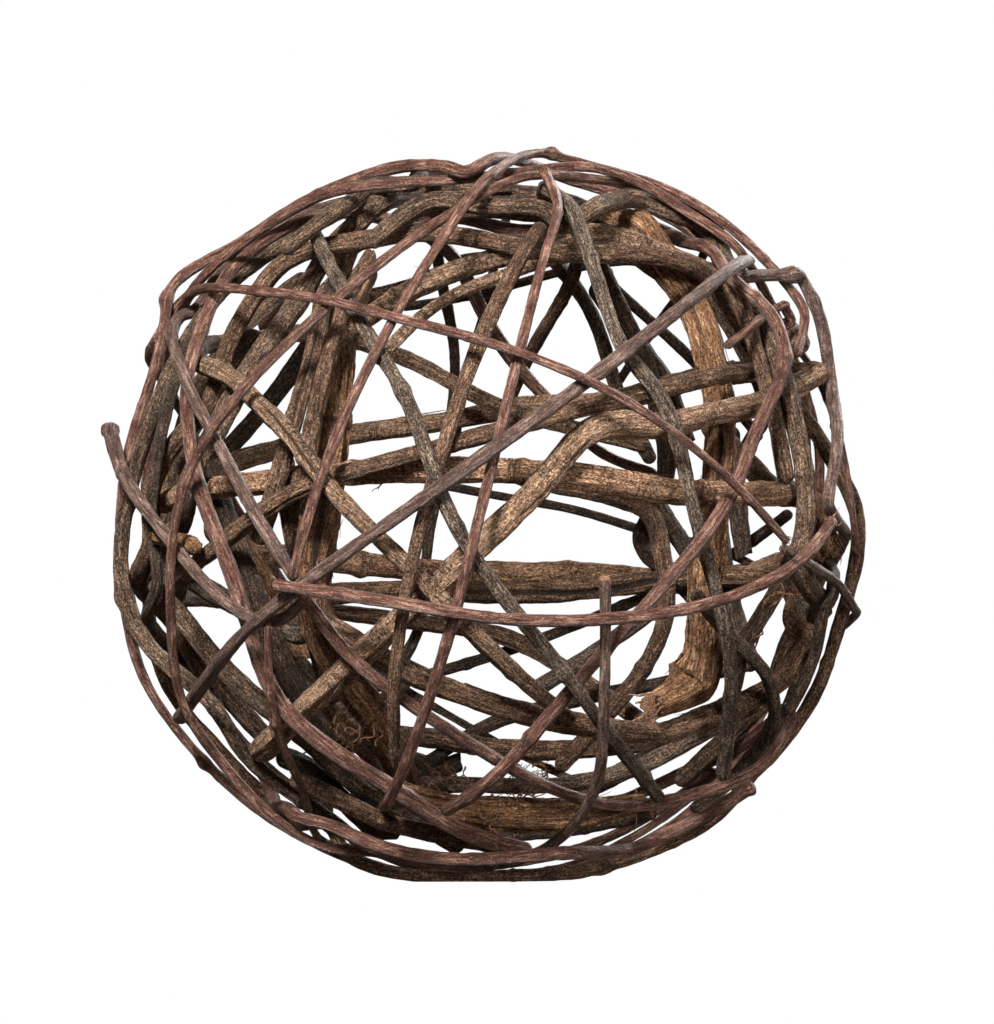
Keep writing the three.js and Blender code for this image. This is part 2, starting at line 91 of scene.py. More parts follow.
# ---------- barks: (darkest, middle, lightest) as 0-255 display colours, and how each is marked ----------
# Each bark's fissure weight darkens its own crack lines and also sets the painted shade in its rib valleys
# and splits.
BARKS = {
    "russet": dict(colours=((44, 22, 17), (107, 67, 55), (196, 158, 139)), gloss=0.42, grit=0.24,
                   fissure_and_valley_shade=0.65, flake=0.28, speck_and_glint=0.70, crease=0.15, relief=0.05, flutes=6),
    "plum": dict(colours=((38, 26, 23), (100, 75, 66), (190, 162, 149)), gloss=0.44, grit=0.28,
                 fissure_and_valley_shade=0.60, flake=0.20, speck_and_glint=0.60, crease=0.15, relief=0.06, flutes=6),
    "grey": dict(colours=((22, 16, 12), (99, 80, 66), (206, 186, 164)), gloss=0.70, grit=0.50,
                 fissure_and_valley_shade=1.0, flake=0.20, speck_and_glint=0.60, crease=0.50, relief=0.12, flutes=7),
    "dark": dict(colours=((16, 11, 8), (68, 51, 39), (154, 129, 107)), gloss=0.72, grit=0.50,
                 fissure_and_valley_shade=1.0, flake=0.15, speck_and_glint=0.35, crease=0.40, relief=0.11, flutes=6),
    "brown": dict(colours=((24, 15, 9), (112, 79, 58), (212, 174, 142)), gloss=0.72, grit=0.50,
                  fissure_and_valley_shade=1.0, flake=0.25, speck_and_glint=0.50, crease=0.70, relief=0.13, flutes=8),
    "tan": dict(colours=((42, 28, 18), (162, 124, 96), (240, 210, 180)), gloss=0.76, grit=0.58,
                fissure_and_valley_shade=1.0, flake=0.25, speck_and_glint=0.50, crease=1.0, relief=0.13, flutes=8),
    "fibre": dict(colours=((34, 20, 11), (148, 102, 68), (230, 190, 150)), gloss=0.80, grit=0.40,
                  fissure_and_valley_shade=1.0, flake=0.30, speck_and_glint=0.40, crease=0.50, relief=0.19, flutes=9),
}
CUT_WOOD = (214, 172, 140)
PITH = (120, 76, 52)
WARM = (255, 234, 216)                     # tint of the browner twigs among the grey and dark ones
FLECK_AND_GLINT = (222, 186, 156)                     # bare inner bark that shows in pores and rubbed places, and partly painted highlight: pale flecks that stand in for small glints
BUMP_DEPTH = 0.45 * MM                     # depth of the finest relief, which is in the materials


# ---------- runs of the twigs ----------
def rings_of(node):
    """Middles and radii of the rings of a twig's solid, from its left end to its right one.

    The solid's corners are merged and walked from one tip, edge by edge: each step reaches exactly one
    ring, and the walk that ends in a single corner has started at a tip.
    """
    merged = bmesh.new()
    merged.from_mesh(frame["nodes"][node].data)
    bmesh.ops.remove_doubles(merged, verts=merged.verts, dist=1e-6)
    shell = bpy.data.meshes.new("shell")
    merged.to_mesh(shell)
    merged.free()
    corners = np.empty(len(shell.vertices) * 3)
    shell.vertices.foreach_get("co", corners)
    corners = corners.reshape(-1, 3)
    edges = np.empty(len(shell.edges) * 2, dtype=int)
    shell.edges.foreach_get("vertices", edges)
    bpy.data.meshes.remove(shell)
    linked = np.zeros((len(corners), len(corners)), dtype=bool)
    linked[edges[0::2], edges[1::2]] = True
    linked |= linked.T
    for sides in (5, 6):
        for start in np.flatnonzero(linked.sum(axis=0) == sides):
            layers = walk(linked, start)
            sizes = [len(layer) for layer in layers]
            if sizes[-1] == 1 and set(sizes[1:-1]) == {sides}:
                return measured(corners, layers)
    raise RuntimeError(f"{node} has no ring at every step")


def walk(linked, start):
    """Corners first reached after 0, 1, 2 ... edges from start."""
    seen = np.zeros(len(linked), dtype=bool)
    seen[start] = True
    layers = [np.array([start])]
    while not seen.all():
        reached = linked[layers[-1]].any(axis=0) & ~seen
        seen |= reached
        layers.append(np.flatnonzero(reached))
    return layers


def measured(corners, layers):
    """Middle and radius of each ring, with the two domed tips left out, ordered from left to right."""
    middles = np.array([corners[layer].mean(axis=0) for layer in layers[1:-1]])
    radii = np.array([
        np.linalg.norm(corners[layer] - middle, axis=1).max()
        for layer, middle in zip(layers[1:-1], middles)
    ])
    if middles[0, 0] > middles[-1, 0]:
        return middles[::-1], radii[::-1]
    return middles, radii


def eased(knots, values, at):
    """Natural cubic spline through the values at the knots, read at the given places."""
    count = len(knots)
    gap = np.diff(knots)
    slope = np.diff(values, axis=0) / gap[:, None]
    system = np.eye(count)
    right = np.zeros_like(values)
    inner = np.arange(1, count - 1)
    system[inner, inner - 1] = gap[:-1]
    system[inner, inner] = 2 * (gap[:-1] + gap[1:])
    system[inner, inner + 1] = gap[1:]
    right[1:-1] = 6 * np.diff(slope, axis=0)
    bend = np.linalg.solve(system, right)
    piece = np.clip(np.searchsorted(knots, at, side="right") - 1, 0, count - 2)
    width = gap[piece][:, None]
    after = (at - knots[piece])[:, None]
    before = (knots[piece + 1] - at)[:, None]
    cubic = (bend[piece] * before**3 + bend[piece + 1] * after**3) / (6 * width)
    straight_before = (values[piece] / width - bend[piece] * width / 6) * before
    straight_after = (values[piece + 1] / width - bend[piece + 1] * width / 6) * after
    return cubic + straight_before + straight_after


class Run:
    """A twig's middle line with its radius, its direction and two directions across it at every ring."""

    def __init__(self, middles, radii):
        knots = np.concatenate([[0], np.cumsum(np.linalg.norm(np.diff(middles, axis=0), axis=1))])
        self.length = knots[-1]
        self.along = np.linspace(0, self.length, max(int(self.length / RING_STEP), 8))
        self.line = eased(knots, middles, self.along)
        self.radius = np.interp(self.along, knots, radii)
        ahead = np.gradient(self.line, self.along, axis=0)
        self.ahead = ahead / np.linalg.norm(ahead, axis=1, keepdims=True)
        self.out, self.side = carried_frame(self.line, self.ahead)

    def nearest(self, right, up):
        """Number of the ring nearest to a place in the front view, given in millimetres from the centre."""
        place = CENTRE + np.array([right, 0, up]) * MM
        apart = np.hypot(self.line[:, 0] - place[0], self.line[:, 2] - place[2])
        return int(np.argmin(apart + FRONT_FIRST * self.line[:, 1]))


def carried_frame(line, ahead):
    """Two directions across the line, turned from ring to ring no more than the line itself turns."""
    outward = line[0] - CENTRE
    outs = [across(outward, ahead[0])]
    for direction in ahead[1:]:
        outs.append(across(outs[-1], direction))
    outs = np.array(outs)
    return outs, np.cross(ahead, outs)


def across(vector, direction):
    """The part of a vector that is square to a direction, at unit length."""
    flat = vector - np.dot(vector, direction) * direction
    return flat / np.linalg.norm(flat)


# ---------- meshes ----------
def put_mesh(name, points, faces, material, attributes):
    """Mesh object of the points and faces, smooth, with its named values at the points, on the root body."""
    mesh = bpy.data.meshes.new(name)
    mesh.from_pydata(points.tolist(), [], faces)
    for label, values in attributes.items():
        kind = "FLOAT_VECTOR" if values.ndim == 2 else "FLOAT"
        field = mesh.attributes.new(label, kind, "POINT")
        field.data.foreach_set("vector" if values.ndim == 2 else "value", values.ravel())
    mesh.polygons.foreach_set("use_smooth", np.ones(len(mesh.polygons), dtype=bool))
    mesh.materials.append(material)
    mesh.update()
    piece = bpy.data.objects.new(name, mesh)
    bpy.context.scene.collection.objects.link(piece)
    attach(piece, "root")
    return piece


def grid_faces(rows, sides, first=0):
    """Quads between neighbouring rows of a tube, and fans to a pole point before and after it.

    The poles are the two points that follow the rows.
    """
    side = np.arange(sides)
    beside = (side + 1) % sides
    base = first + np.arange(rows - 1)[:, None] * sides
    quads = np.stack([base + side, base + beside, base + sides + beside, base + sides + side], axis=-1)
    start, end = first + rows * sides, first + rows * sides + 1
    last = first + (rows - 1) * sides
    opening = np.stack([np.full(sides, start), first + beside, first + side], axis=-1)
    closing = np.stack([np.full(sides, end), last + side, last + beside], axis=-1)
    return quads.reshape(-1, 4).tolist() + opening.tolist() + closing.tolist()


# ---------- bark relief ----------
def flutes(turn, along, count, random):
    """Lengthwise ribs that wander round the twig: a sum of waves, each with a whole number of crests."""
    height = np.zeros(np.broadcast(turn, along).shape)
    for crests in (count - 3, count - 1, count, count + 2):
        drift = random.uniform(-1, 1) * 2 * math.pi / RIB_TWIST
        swell = random.uniform(*RIB_PACE) * 2 * math.pi / RIB_SWELL
        phase, beat = random.uniform(0, 2 * math.pi, 2)
        rise = 1 + RIB_RISE * np.sin(swell * along + beat)
        height += np.sin(crests * turn + drift * along + phase) * rise
    return height / 4


def unevenness(along, random):
    """Slow swelling and thinning along the twig, as a share of its radius."""
    total = np.zeros_like(along)
    for wave, share in SWELLS:
        length = wave * random.uniform(*SWELL_LENGTHS)
        total += share * np.sin(2 * math.pi * along / length + random.uniform(0, 2 * math.pi))
    return total


def knots_on(run, places, random):
    """Knots of a twig as (place along it, side, height as a share of the radius, half width).

    Buds sit on alternate sides, some centimetres apart, and the named places are larger ones.
    """
    found = []
    place = random.uniform(*FIRST_BUD) * MM
    side = random.uniform(0, 2 * math.pi)
    while place < run.length - BUDLESS_TIP:
        found.append((place, side, random.uniform(*BUD_HEIGHT), random.uniform(*BUD_WIDTH) * MM))
        place += random.uniform(*BUD_SPACING) * MM
        side += math.pi + random.uniform(-BUD_SWAY, BUD_SWAY)
    for right, up, height in places:
        ring = run.nearest(right, up)
        width = run.radius[ring] + KNOT_MARGIN
        found.append((run.along[ring], random.uniform(-KNOT_SWAY, KNOT_SWAY), height, width))
    return found


def knot_relief(turn, along, knots):
    """Height of the knots over the bark, and how near each point is to one of their rings."""
    height = np.zeros(np.broadcast(turn, along).shape)
    ring = np.zeros_like(height)
    for place, side, share, width in knots:
        bell = np.exp(-((along - place) / width) ** 2)
        lean = BUD_ALL_ROUND + BUD_ONE_SIDE * np.clip(np.cos(turn - side), 0, 1) ** 2
        height += share * bell * lean
        band = np.exp(-((along - place - SCAR_PLACE * width) / SCAR_RING) ** 2)
        ring = np.maximum(ring, band * min(share * SCAR_DARKNESS, 1))
    return height, ring


# ---------- ends ----------
# Rows that close an end: how far out along the twig and how wide, both as shares of its radius.
ROUNDED = ((0.22, 0.98), (0.45, 0.90), (0.68, 0.74), (0.86, 0.50), (0.97, 0.24))
CUT = ((0.06, 0.985), (0.10, 0.93), (0.11, 0.62), (0.10, 0.34), (0.08, 0.12))
NUB = ((0.35, 1.12), (0.75, 1.24), (1.10, 1.20), (1.40, 0.90), (1.58, 0.42))
END_SHAPES = {"round": ROUNDED, "cut": CUT, "nub": NUB}
CUT_SLOPE = (0.4, 0.9)                     # range of a cut's slope
CUT_RIM = 0.95                             # width, as a share, within which a cut is bare wood


def end_rows(run, end, shape, random):
    """Rows beyond a twig's end: middles, widths as shares, how far they lean, and which are bare wood."""
    index = 0 if end == 0 else -1
    outward = -run.ahead[0] if end == 0 else run.ahead[-1]
    shares = np.array(END_SHAPES[shape])
    middles = run.line[index] + shares[:, :1] * run.radius[index] * outward
    if shape == "cut":
        return middles, shares[:, 1], outward * random.uniform(*CUT_SLOPE), shares[:, 1] < CUT_RIM
    return middles, shares[:, 1], outward * 0.0, np.zeros(len(shares), dtype=bool)


def facing_turn(run):
    """The turn round the twig, at every ring, of the side that faces the front."""
    return np.arctan2(-run.side[:, 1], -run.out[:, 1])


def split_in(run, turn, along, facing, splits):
    """Depth of the lengthwise splits, in rib heights: a narrow bell round the side that faces the front."""
    depth = np.zeros(np.broadcast(turn, along).shape)
    for start, end, height in splits:
        low, high = sorted(run.along[run.nearest(*place)] for place in (start, end))
        within = np.clip((along - low) / SPLIT_FADE, 0, 1) * np.clip((high - along) / SPLIT_FADE, 0, 1)
        wander = facing + SPLIT_SWAY * np.sin(along / SPLIT_WAVE)
        apart = (turn - wander + math.pi) % (2 * math.pi) - math.pi
        depth += height * within * np.exp(-((apart / SPLIT_WIDTH) ** 2))
    return depth


def rows_of(run, ends, random):
    """Every row of a twig's skin, its ends included.

    Gives the middles, the two directions across, the radius with the end's narrowing apart from it, the
    place along the twig, the rows of bare wood, and for each end its rows and how far they lean.
    """
    first = end_rows(run, 0, ends[0], random)
    last = end_rows(run, 1, ends[1], random)
    before, after = len(first[0]), len(last[0])
    pad = ((before, after), (0, 0))
    return dict(
        middles=np.concatenate([first[0][::-1], run.line, last[0]]),
        factor=np.concatenate([first[1][::-1], np.ones(len(run.line)), last[1]])[:, None],
        bare=np.concatenate([first[3][::-1], np.zeros(len(run.line), dtype=bool), last[3]]),
        out=np.pad(run.out, pad, mode="edge"),
        side=np.pad(run.side, pad, mode="edge"),
        radius=np.pad(run.radius, (before, after), mode="edge")[:, None],
        along=np.pad(run.along, (before, after), mode="edge")[:, None],
        facing=np.pad(facing_turn(run), (before, after), mode="edge")[:, None],
        leans=((first[2], slice(0, before)), (last[2], slice(before + len(run.line), None))),
    )


def twig_skin(name, run, number, bark, ends, places, splits=(), light=0.0, warm=0.0):
    """The bark of one twig: a ring of points carried along its run.

    A point's distance from the middle line is the run's radius times one plus the unevenness, an oval,
    the ribs and the knots. Each end is closed by the rows of its shape, leaned to one side where it is cut.
    """
    random = np.random.default_rng(TWIG_SEED + number)
    look = BARKS[bark]
    sides = SIDES_STOUT if run.radius.max() >= STOUT else SIDES_THIN
    turn = np.arange(sides) * 2 * math.pi / sides
    rows = rows_of(run, ends, random)
    along = rows["along"]
    start = random.uniform(0, ANY_START)
    oval = OVAL * np.cos(2 * turn + start + along * random.uniform(-OVAL_TWIST, OVAL_TWIST))
    ribs = flutes(turn, along, look["flutes"], random)
    swelling, ring = knot_relief(turn, along, knots_on(run, places, random))
    ribs = ribs - split_in(run, turn, along, rows["facing"], splits)
    reach = 1 + unevenness(along, random) + oval + look["relief"] * ribs + swelling
    reach = reach * rows["radius"] * rows["factor"]
    direction = np.cos(turn)[:, None] * rows["out"][:, None] + np.sin(turn)[:, None] * rows["side"][:, None]
    points = rows["middles"][:, None] + reach[..., None] * direction
    for lean, part in rows["leans"]:
        outwards = rows["middles"][part][0] - CENTRE
        tilt = -direction[part] @ (outwards / np.linalg.norm(outwards))
        points[part] += (tilt * reach[part])[..., None] * lean
    poles = np.array([points[0].mean(axis=0), points[-1].mean(axis=0)])
    points = np.concatenate([points.reshape(-1, 3), poles])
    points[:, 2] = np.maximum(points[:, 2], 0)
    attributes = {
        "grain": grain_places(reach, turn, along + number * TWIG_SPACING),
        "cut": with_poles(rows["bare"][:, None] + 0.0 * reach, rows["bare"][[0, -1]]),
        # The rib height, with the splits sunk in it, also drives painted shade: the material darkens its
        # valleys.
        "rib": with_poles(ribs, (0, 0)),
        "knot": with_poles(ring, (0, 0)),
        "shade": np.full(len(points), light + random.uniform(-SHADE_SPREAD, SHADE_SPREAD)),
        "warm": np.full(len(points), warm),
    }
    return put_mesh(name, points, grid_faces(len(along), sides), MATERIALS[bark], attributes)


def grain_places(reach, turn, along):
    """Places of the points in the twig's straightened space, where the grain runs along z."""
    places = np.stack([reach * np.cos(turn), reach * np.sin(turn), along + 0.0 * reach], axis=-1)
    places = places.reshape(-1, 3)
    return np.concatenate([places, places[[0, -1]] * (0, 0, 1)])


def with_poles(values, at_poles):
    """Values of the rows' points, followed by those of the two poles."""
    return np.concatenate([values.ravel(), at_poles])


# ---------- shoots beyond the solids ----------
SETTLE_ROUNDS = 160
SETTLE_STEP = 3 * MM                       # distance between the places that are pressed apart
GAP = 0.2 * MM                             # room that is kept between two twigs
EVERY = 3                                  # of so many rings, one stands for a twig that is in the way
SHOOT_TAPER = (1.05, 0.9)                  # thickness at a shoot's two ends, as shares


def settled(middles, radius, others):
    """A shoot's line, pressed clear of the other twigs and eased after every push.

    Each place moves away from every twig place that is nearer than the two radii and the gap, by half
    of what is missing, and then a third of the way to the middle of its two neighbours.
    """
    knots = np.concatenate([[0], np.cumsum(np.linalg.norm(np.diff(middles, axis=0), axis=1))])
    line = eased(knots, middles, np.linspace(0, knots[-1], max(int(knots[-1] / SETTLE_STEP), 6)))
    for _ in range(SETTLE_ROUNDS):
        away = line[:, None] - others[None, :, :3]
        apart = np.linalg.norm(away, axis=2)
        missing = np.clip(radius + others[None, :, 3] + GAP - apart, 0, None)
        line = line + 0.5 * (away / apart[..., None] * missing[..., None]).sum(axis=1)
        line[1:-1] += (line[:-2] + line[2:] - 2 * line[1:-1]) / 6
    return line


def in_the_way(run):
    """Places of a twig that a shoot keeps clear of, each with its radius."""
    return np.column_stack([run.line[::EVERY], run.radius[::EVERY]])


def laid_shoot(side, depth, radius, places):
    """Middles of a shoot on the front (-1) or the back (1) of a shell at some depth below the ball's skin."""
    right, up = np.array(places).T * MM
    shell = BALL_RADIUS - radius - depth * MM
    level = np.sqrt(np.clip(shell**2 - right**2 - up**2, 0, None))
    return np.stack([right, side * level, up], axis=1) + CENTRE


# ---------- fibres ----------
HAIR_RINGS, HAIR_SIDES = 16, 5
HAIR_UP = np.array([0.3, 0.2, 1.0])        # a slanting direction that no hair heads along
HAIR_WAVES = (0.5, 1.5)                    # range of the waves in a hair's length
HAIR_TAPER = 0.75                          # share of its thickness that a hair loses by its free end
HAIR_RIPPLES, HAIR_RIPPLE = (9, 30), 0.15  # range of their number, in radians, and their height as a share
HAIR_THICKNESS = (0.6, 1.3)                # range, as a share of the bundle's
HAIR_SHADE = 0.3                           # most difference in lightness from the bundle
HAIR_LENGTHS = (0.5, 1.2)                  # range, as a share of the tuft's
HAIR_FAN = 0.45                            # how widely the hairs of a tuft part
HAIR_BARENESS = 0.4                        # how near root hairs are to bare wood
SHRED_SEAT = 1.04                          # where a shred lies, in radii of its vine
SHRED_TURN = 0.5                           # how far a shred winds round its vine, in radians
SHRED_LENGTHS, SHRED_LIFTS = (0.5, 1.3), (0.1, 1)  # ranges, as shares of the group's
SPIKE_REACH = 0.8                          # share of a broken end's area that bears spikes
SPIKE_FAN, SPIKE_CURL = 0.45, 0.15         # how widely spikes part, and how much each bends
SPIKE_LENGTHS = (1.8, 3.6)                 # range, in radii of the twig
SPIKE_THICKNESS = 0.35                     # in radii of the twig


def hair_line(start, heading, length, curl, random):
    """A root hair's line: its heading turns by two slow waves, one up and down and one sideways."""
    share = np.linspace(0, 1, HAIR_RINGS)
    ahead = heading / np.linalg.norm(heading)
    level = across(HAIR_UP, ahead)
    steps = np.tile(ahead, (HAIR_RINGS, 1))
    for direction in (level, np.cross(ahead, level)):
        waves = 2 * math.pi * share * random.uniform(*HAIR_WAVES)
        sway = curl * np.sin(waves + random.uniform(0, ANY_START))
        steps += sway[:, None] * direction
    steps /= np.linalg.norm(steps, axis=1, keepdims=True)
    return start + np.cumsum(steps, axis=0) * length / HAIR_RINGS


def shred_line(run, first, length, turn, lift):
    """A shred's line: along the vine just over its bark, rising off it by the fourth power of the way."""
    ring = np.clip(np.linspace(first, first + length / RING_STEP, HAIR_RINGS), 0, len(run.line) - 1)
    share = np.linspace(0, 1, HAIR_RINGS)
    rings = np.arange(len(run.line))
    height = np.interp(ring, rings, run.radius) * SHRED_SEAT + lift * share**4
    out, side, line = (
        np.stack([np.interp(ring, rings, part[:, axis]) for axis in range(3)], axis=1)
        for part in (run.out, run.side, run.line)
    )
    angle = (turn + SHRED_TURN * share)[:, None]
    return line + height[:, None] * (np.cos(angle) * out + np.sin(angle) * side)


def fibre_tube(line, thick, random):
    """Points of a hair: five points round its line, thinner towards the free end, and a point at each end."""
    ahead = np.gradient(line, axis=0)
    ahead /= np.linalg.norm(ahead, axis=1, keepdims=True)
    out, side = carried_frame(line, ahead)
    turn = np.arange(HAIR_SIDES) * 2 * math.pi / HAIR_SIDES
    share = np.linspace(0, 1, len(line))
    ripple = 1 + HAIR_RIPPLE * np.sin(share * random.uniform(*HAIR_RIPPLES))
    radius = thick / 2 * (1 - HAIR_TAPER * share**1.5) * ripple
    round_about = np.cos(turn)[None, :, None] * out[:, None] + np.sin(turn)[None, :, None] * side[:, None]
    points = line[:, None] + radius[:, None, None] * round_about
    poles = np.array([line[0] - ahead[0] * radius[0], line[-1] + ahead[-1] * radius[-1]])
    return np.concatenate([points.reshape(-1, 3), poles])


def bundle(name, lines, thick, bark, bare, random):
    """One piece of many hairs. bare is 1 where they are pale bare wood, and 0 where they keep their bark."""
    points, faces, shades, first = [], [], [], 0
    for line in lines:
        hair = fibre_tube(line, thick * random.uniform(*HAIR_THICKNESS), random)
        points.append(hair)
        shades.append(np.full(len(hair), random.uniform(-HAIR_SHADE, HAIR_SHADE)))
        faces += [[corner + first for corner in face] for face in grid_faces(len(line), HAIR_SIDES)]
        first += len(hair)
    points = np.concatenate(points)
    points[:, 2] = np.maximum(points[:, 2], 0)
    nothing = np.zeros(len(points))
    attributes = {"grain": points, "cut": nothing + bare, "rib": nothing, "knot": nothing,
                  "shade": np.concatenate(shades), "warm": nothing}
    return put_mesh(name, points, faces, MATERIALS[bark], attributes)


def root_hairs(name, node, place, count, length, thick, spread, heading, curl=0.9):
    """Tuft of root hairs that spring from a twig near a place in the front view."""
    random = np.random.default_rng(len(name) * HAIR_SEED + count)
    run = RUNS[node]
    middle = run.line[run.nearest(*place)]
    lines = []
    for _ in range(count):
        start = middle + random.normal(0, spread * MM, 3)
        aim = np.array(heading) + random.normal(0, HAIR_FAN, 3)
        lines.append(hair_line(start, aim, length * MM * random.uniform(*HAIR_LENGTHS), curl, random))
    bundle(name, lines, thick * MM, "fibre", HAIR_BARENESS, random)


def shreds(name, node, from_share, to_share, count, length, thick, lift, bark="fibre"):
    """Strips of bark that lie along part of a vine and peel off it at one end."""
    random = np.random.default_rng(len(name) * SHRED_SEED + count)
    run = RUNS[node]
    rings = len(run.line)
    lines = []
    for _ in range(count):
        first = random.uniform(from_share, to_share) * rings
        reach = length * MM * random.uniform(*SHRED_LENGTHS) * random.choice((-1, 1))
        turn, rise = random.uniform(0, ANY_TURN), lift * MM * random.uniform(*SHRED_LIFTS)
        lines.append(shred_line(run, first, reach, turn, rise))
    bundle(name, lines, thick * MM, bark, 0.0, random)


def splinters(name, node, end, bark, count=9):
    """Pale spikes of torn wood that stand out of a broken end, each on its own slant."""
    random = np.random.default_rng(len(name) * SPIKE_SEED + count)
    run = RUNS[node]
    index = 0 if end == 0 else -1
    outward = -run.ahead[0] if end == 0 else run.ahead[-1]
    radius = run.radius[index]
    lines = []
    for _ in range(count):
        turn, apart = random.uniform(0, ANY_TURN), radius * math.sqrt(random.uniform(0, SPIKE_REACH))
        offset = apart * (math.cos(turn) * run.out[index] + math.sin(turn) * run.side[index])
        aim = outward + SPIKE_FAN * offset / radius
        start = run.line[index] + offset - outward * radius
        lines.append(hair_line(start, aim, radius * random.uniform(*SPIKE_LENGTHS), SPIKE_CURL, random))
    bundle(name, lines, SPIKE_THICKNESS * radius, bark, 1.0, random)


# ---------- materials ----------
def linear(colour):
    """Display colour from 0 to 255 as the shader's linear one."""
    share = np.array(colour) / 255
    return (*np.where(share <= 0.04045, share / 12.92, ((share + 0.055) / 1.055) ** 2.4), 1.0)


def noise(tree, vector, scale, detail=4.0, roughness=0.6):
    """Noise texture of a vector, about scale features to the metre."""
    node = tree.nodes.new("ShaderNodeTexNoise")
    node.inputs["Scale"].default_value = scale
    node.inputs["Detail"].default_value = detail
    node.inputs["Roughness"].default_value = roughness
    tree.links.new(vector, node.inputs["Vector"])
    return node.outputs["Fac"]


def stretched(tree, vector, share):
    """The vector with its length direction drawn out, so that a texture runs along the twig."""
    node = tree.nodes.new("ShaderNodeMapping")
    node.inputs["Scale"].default_value = (1, 1, share)
    tree.links.new(vector, node.inputs["Vector"])
    return node.outputs["Vector"]


def ramp(tree, value, low, high, low_to=0.0, high_to=1.0):
    """A value's range drawn out from low..high to low_to..high_to, and held at both ends."""
    node = tree.nodes.new("ShaderNodeMapRange")
    node.inputs["From Min"].default_value = low
    node.inputs["From Max"].default_value = high
    node.inputs["To Min"].default_value = low_to
    node.inputs["To Max"].default_value = high_to
    tree.links.new(value, node.inputs["Value"])
    return node.outputs["Result"]


def maths(tree, operation, first, second):
    """Math node of two values, either of them a number or a socket."""
    node = tree.nodes.new("ShaderNodeMath")
    node.operation = operation
    for socket, value in zip(node.inputs, (first, second)):
        if isinstance(value, (int, float)):
            socket.default_value = value
        else:
            tree.links.new(value, socket)
    return node.outputs["Value"]


def weighted(tree, *parts):
    """Sum of some sockets, each times its weight."""
    total = 0.0
    for value, weight in parts:
        total = maths(tree, "ADD", total, maths(tree, "MULTIPLY", value, weight))
    return total


def largest(tree, *parts):
    """Largest of some sockets, each times its weight."""
    total = 0.0
    for value, weight in parts:
        total = maths(tree, "MAXIMUM", total, maths(tree, "MULTIPLY", value, weight))
    return total


def blended(tree, factor, first, second, mode="MIX"):
    """Mix of two colours, each a display colour or a socket."""
    node = tree.nodes.new("ShaderNodeMix")
    node.data_type = "RGBA"
    node.blend_type = mode
    for socket, value in ((node.inputs["Factor"], factor), (node.inputs[6], first), (node.inputs[7], second)):
        if isinstance(value, (int, float)):
            socket.default_value = value
        elif isinstance(value, tuple):
            socket.default_value = linear(value)
        else:
            tree.links.new(value, socket)
    return node.outputs[2]


def graded(tree, value, colours):
    """Colour that runs from the first to the last of some colours as the value goes from 0 to 1."""
    node = tree.nodes.new("ShaderNodeValToRGB")
    stops = node.color_ramp.elements
    while len(stops) < len(colours):
        stops.new(0.5)
    for stop, colour, place in zip(stops, colours, np.linspace(0, 1, len(colours))):
        stop.position = place
        stop.color = linear(colour)
    tree.links.new(value, node.inputs["Fac"])
    return node.outputs["Color"]


def from_middle(tree, value):
    """How far a noise's value is from its middle, which is 0 on thin lines."""
    return maths(tree, "ABSOLUTE", maths(tree, "SUBTRACT", value, 0.5), 0.0)


def bark_grain():
    """Shared effect: the marks of bark in a twig's straightened space.

    In: Place. Out: Streak, long soft bands; Fissure, dark lengthwise crack lines; Grit, fine pale and dark
    grains;
    Mottle, slow changes; Flake, places with sharp edges where the outer skin has come off; Speck, scattered
    pale pores, partly painted highlight that stands in for small glints; Crease, short crack lines across the
    twig.
    """
    group = bpy.data.node_groups.new("bark grain", "ShaderNodeTree")
    group.interface.new_socket("Place", in_out="INPUT", socket_type="NodeSocketVector")
    for label in ("Streak", "Fissure", "Grit", "Mottle", "Flake", "Speck_and_glint", "Crease"):
        group.interface.new_socket(label, in_out="OUTPUT", socket_type="NodeSocketFloat")
    place = group.nodes.new("NodeGroupInput").outputs["Place"]
    result = group.nodes.new("NodeGroupOutput")

    def texture(along, scale, detail, roughness):
        """Noise of about scale features to the metre across the twig, and along times as many down it."""
        return noise(group, stretched(group, place, along), scale, detail, roughness)

    crack = from_middle(group, texture(0.13, 950, 3, 0.65))
    crease = from_middle(group, texture(5.0, 75, 4, 0.65))
    creased = ramp(group, texture(1.0, 150, 2, 0.5), 0.46, 0.58)
    marks = {
        "Streak": ramp(group, texture(0.11, 1400, 4, 0.75), 0.38, 0.62),
        "Fissure": ramp(group, crack, 0.0, 0.045, 1.0, 0.0),
        "Grit": ramp(group, texture(0.60, 2300, 3, 0.8), 0.39, 0.61),
        "Mottle": ramp(group, texture(1.0, 90, 3, 0.55), 0.32, 0.68),
        "Flake": ramp(group, texture(0.18, 520, 6, 0.72), 0.61, 0.64),
        "Speck_and_glint": ramp(group, texture(0.7, 2500, 2, 0.6), 0.64, 0.68),
        "Crease": maths(group, "MULTIPLY", ramp(group, crease, 0.0, 0.05, 1.0, 0.0), creased),
    }
    for label, value in marks.items():
        group.links.new(value, result.inputs[label])
    return group


def field(tree, label, output="Fac"):
    """A named value that the mesh carries at its points."""
    node = tree.nodes.new("ShaderNodeAttribute")
    node.attribute_name = label
    return node.outputs[output]


